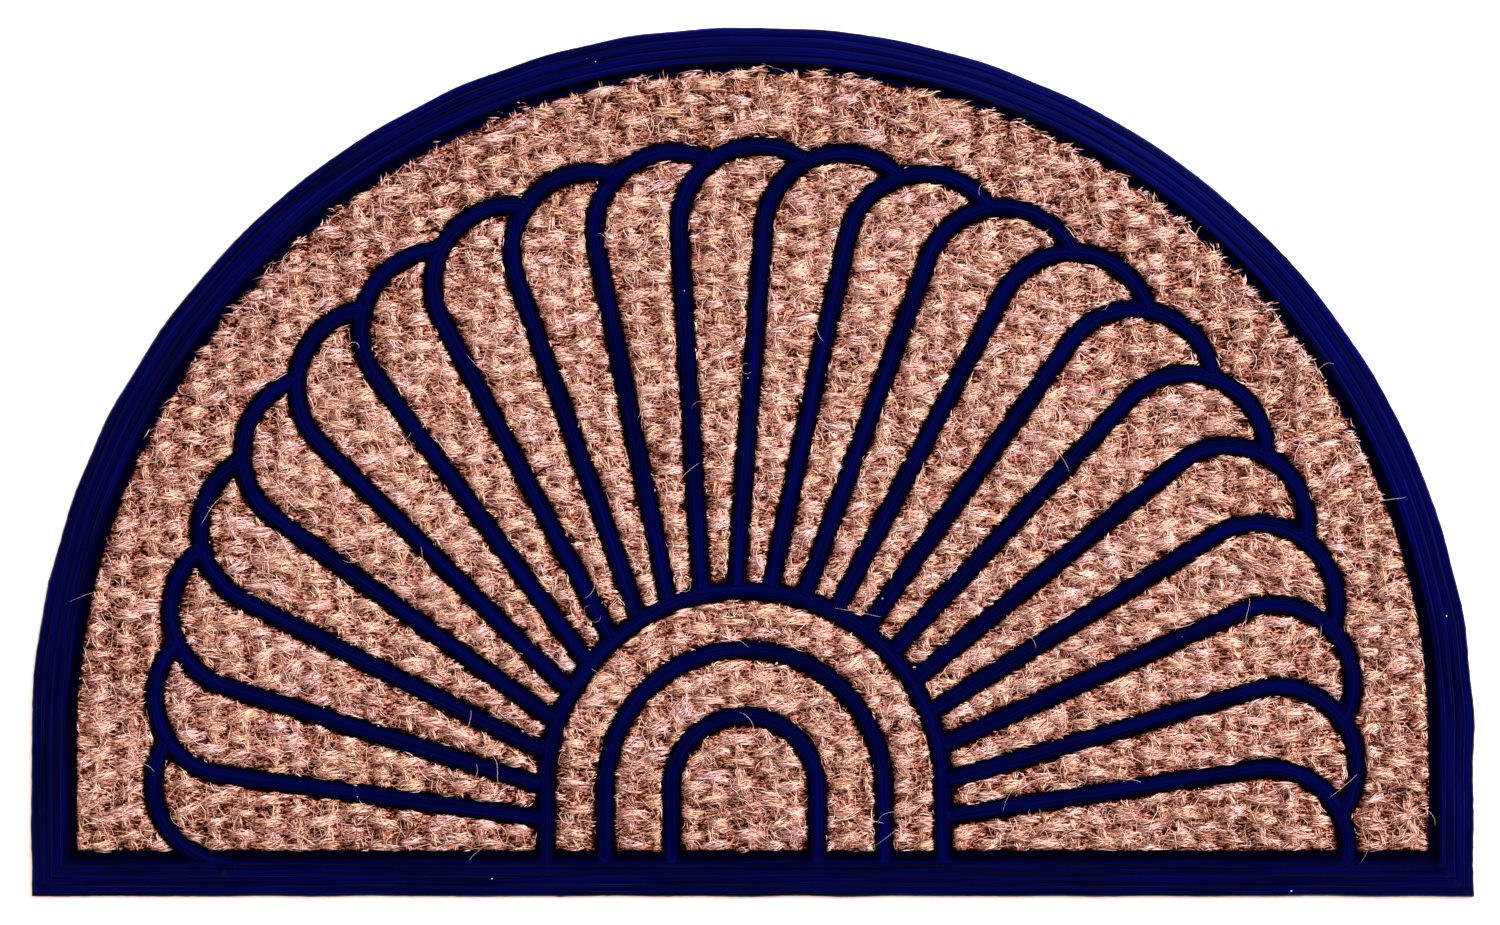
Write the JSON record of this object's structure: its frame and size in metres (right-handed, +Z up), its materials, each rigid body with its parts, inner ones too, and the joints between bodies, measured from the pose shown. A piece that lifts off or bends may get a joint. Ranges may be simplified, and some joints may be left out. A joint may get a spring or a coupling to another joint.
{
  "type": "half-round doormat",
  "caption": "Half-round doormat of coarse woven coir in a moulded rubber tray, with a grooved ramp border, arches and a fan of looped ribs that scrape shoes clean.",
  "frame": {"origin": "middle of the mat's box, on the floor", "axes": "+X along the straight edge, +Y from the straight edge towards the bow, +Z up from the floor"},
  "size_m": [0.762, 0.459, 0.01],
  "materials": {
    "rubber": "satin moulded rubber, very dark navy",
    "coir": "coarse plain-woven coir, matt and hairy"
  },
  "bodies": {
    "root": {"rubber_base": "rubber", "coir_sheet": "coir"}
  },
  "joints": []
}
